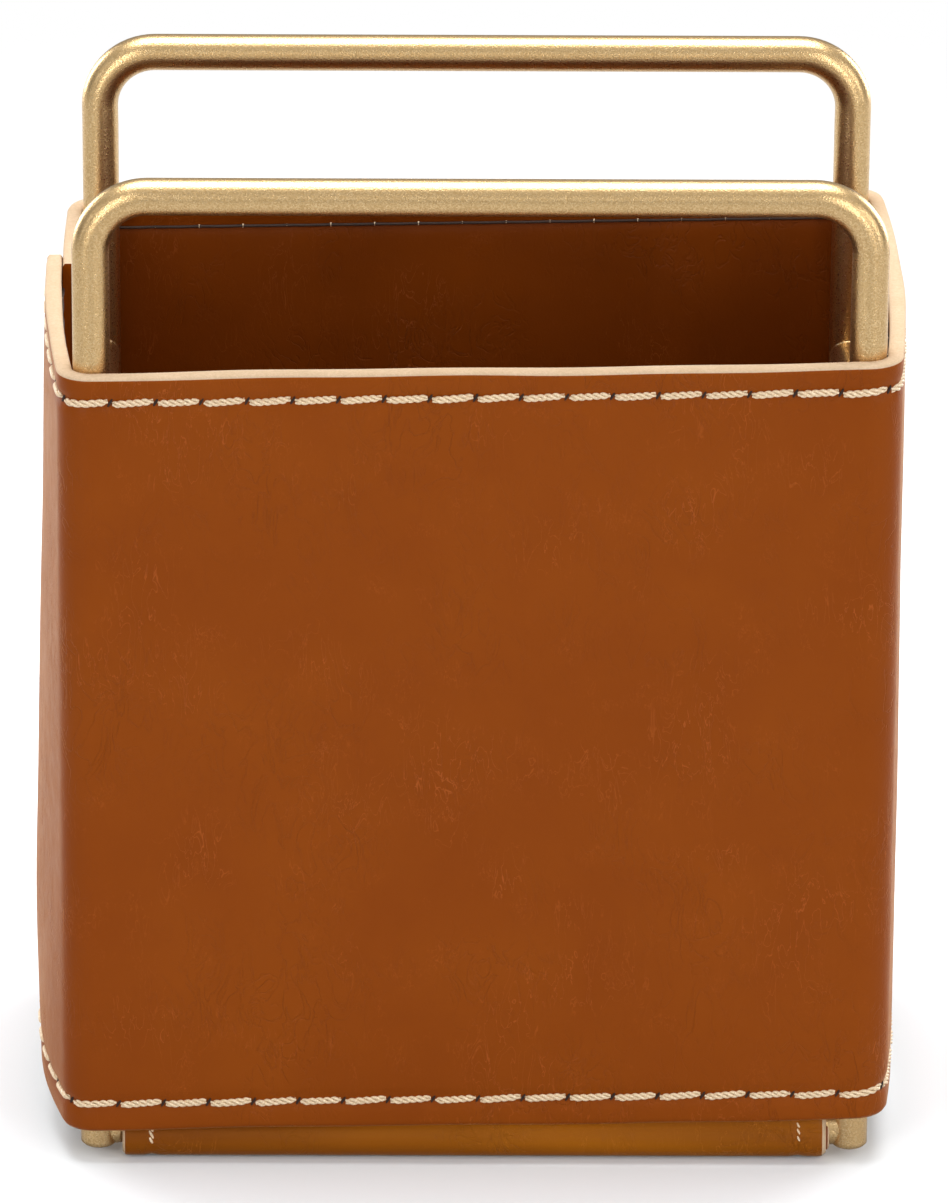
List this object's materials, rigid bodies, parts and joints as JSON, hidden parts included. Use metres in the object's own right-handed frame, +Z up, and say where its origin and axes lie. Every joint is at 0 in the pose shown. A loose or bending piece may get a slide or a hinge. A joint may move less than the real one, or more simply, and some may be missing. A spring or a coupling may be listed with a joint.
{
  "type": "pen holder cup",
  "caption": "Open-topped rectangular desk cup: a stitched leather sleeve and a leather-wrapped base on a bent brass rod frame whose hoops rise above the rim as loops",
  "frame": {"origin": "centre of the footprint, on the surface that the cup stands on", "axes": "+X to the right seen from the front, +Y to the rear, +Z up; the front faces -Y"},
  "size_m": [0.0998, 0.0578, 0.1187],
  "materials": {
    "rod_metal": "satin, finely bead-blasted pale gold",
    "braze": "bright, as brazed",
    "outer_leather": "smooth waxed saddle brown with a cream raw edge",
    "lining_leather": "smooth brown, a little darker",
    "board": "plain fibreboard",
    "thread": "waxed twisted cream thread"
  },
  "bodies": {
    "root": {"front_hoop": "rod_metal", "rear_hoop": "rod_metal", "upper_left_tie": "rod_metal", "upper_right_tie": "rod_metal", "lower_left_tie": "rod_metal", "lower_right_tie": "rod_metal", "front_base_rod": "rod_metal", "rear_base_rod": "rod_metal", "braze_beads": "braze", "sleeve_outer_leather": "outer_leather", "sleeve_lining_leather": "lining_leather", "base_wrap_leather": "outer_leather", "base_inner_leather": "lining_leather", "base_board": "board", "top_edge_stitches": "thread", "bottom_edge_stitches": "thread", "side_seam_stitches": "thread", "base_left_stitches": "thread", "base_right_stitches": "thread"}
  },
  "joints": []
}
